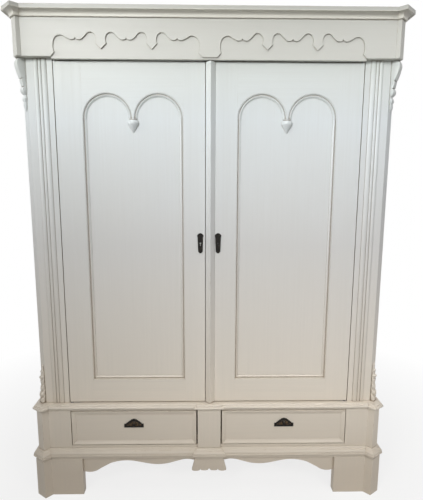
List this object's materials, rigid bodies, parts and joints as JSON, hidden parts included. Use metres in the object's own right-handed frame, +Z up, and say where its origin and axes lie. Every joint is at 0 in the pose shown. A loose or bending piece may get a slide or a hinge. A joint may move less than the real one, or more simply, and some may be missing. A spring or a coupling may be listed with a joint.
{
  "type": "kas cupboard",
  "caption": "Painted cupboard with double-arched panel doors, reeded canted corner posts, scalloped frieze, moulded cornice and drawers in a base on bracket feet.",
  "frame": {"origin": "on the floor under the middle of the overall box", "axes": "+Z up, the doors and drawers face -Y, +X to the right as seen from the front"},
  "size_m": [1.54, 0.5984, 1.995],
  "materials": {
    "painted_wood": "satin paint",
    "bare_wood": "bare pine",
    "iron": "blackened",
    "steel": "dull"
  },
  "bodies": {
    "carcass": {"front_feet": "painted_wood", "back_feet": "painted_wood", "front_apron": "painted_wood", "centre_drop": "painted_wood", "plinth_moulding": "painted_wood", "dust_board": "bare_wood", "base_corners": "painted_wood", "base_sides": "painted_wood", "base_back": "bare_wood", "drawer_muntin": "painted_wood", "drawer_partition": "bare_wood", "drawer_runners": "bare_wood", "waist_moulding": "painted_wood", "waist_board": "bare_wood", "left_pilaster": "painted_wood", "right_pilaster": "painted_wood", "body_sides": "painted_wood", "back_boards": "bare_wood", "top_board": "bare_wood", "hat_shelf": "bare_wood", "shelf_cleats": "bare_wood", "hanging_rail": "bare_wood", "upper_brackets": "painted_wood", "lower_brackets": "painted_wood", "frieze_board": "painted_wood", "scalloped_overlay": "painted_wood", "frieze_box": "painted_wood", "cornice_moulding": "painted_wood", "roof_board": "bare_wood", "hinge_pins": "steel"},
    "left_door": {"left_door_stiles": "painted_wood", "left_door_rails": "painted_wood", "left_door_panel": "painted_wood", "left_door_beading": "painted_wood", "left_door_escutcheon": "iron", "left_door_hinge_plates": "steel", "left_door_bolt_staples": "steel"},
    "right_door": {"right_door_stiles": "painted_wood", "right_door_rails": "painted_wood", "right_door_panel": "painted_wood", "right_door_beading": "painted_wood", "astragal": "painted_wood", "right_door_escutcheon": "iron", "right_door_hinge_plates": "steel", "right_door_lock": "steel"},
    "left_drawer": {"left_drawer_front": "painted_wood", "left_drawer_frame": "painted_wood", "left_drawer_box": "bare_wood", "left_drawer_escutcheon": "iron", "left_drawer_lock": "steel"},
    "right_drawer": {"right_drawer_front": "painted_wood", "right_drawer_frame": "painted_wood", "right_drawer_box": "bare_wood", "right_drawer_escutcheon": "iron", "right_drawer_lock": "steel"},
    "upper_bolt": {"left_door_upper_bolt": "steel"},
    "lower_bolt": {"left_door_lower_bolt": "steel"},
    "lock_bolt": {"right_door_lock_bolt": "steel"},
    "left_drawer_bolt": {"left_drawer_lock_bolt": "steel"},
    "right_drawer_bolt": {"right_drawer_lock_bolt": "steel"}
  },
  "joints": [
    {"name": "left_door_hinge", "type": "hinge", "parent": "carcass", "child": "left_door", "pos_m": [-0.592, -0.21479, 1.1175], "axis": [0, 0, -1], "range_deg": [0, 105]},
    {"name": "right_door_hinge", "type": "hinge", "parent": "carcass", "child": "right_door", "pos_m": [0.592, -0.21479, 1.1175], "axis": [0, 0, 1], "range_deg": [0, 105]},
    {"name": "left_drawer_slide", "type": "slide", "parent": "carcass", "child": "left_drawer", "axis": [0, -1, 0], "range_m": [0, 0.38]},
    {"name": "right_drawer_slide", "type": "slide", "parent": "carcass", "child": "right_drawer", "axis": [0, -1, 0], "range_m": [0, 0.38]},
    {"name": "door_lock_bolt_slide", "type": "slide", "parent": "right_door", "child": "lock_bolt", "axis": [-1, 0, 0], "range_m": [0, 0.01]},
    {"name": "upper_bolt_slide", "type": "slide", "parent": "left_door", "child": "upper_bolt", "axis": [0, 0, 1], "range_m": [0, 0.018]},
    {"name": "lower_bolt_slide", "type": "slide", "parent": "left_door", "child": "lower_bolt", "axis": [0, 0, -1], "range_m": [0, 0.018]},
    {"name": "left_drawer_bolt_slide", "type": "slide", "parent": "left_drawer", "child": "left_drawer_bolt", "axis": [0, 0, 1], "range_m": [0, 0.011]},
    {"name": "right_drawer_bolt_slide", "type": "slide", "parent": "right_drawer", "child": "right_drawer_bolt", "axis": [0, 0, 1], "range_m": [0, 0.011]}
  ]
}
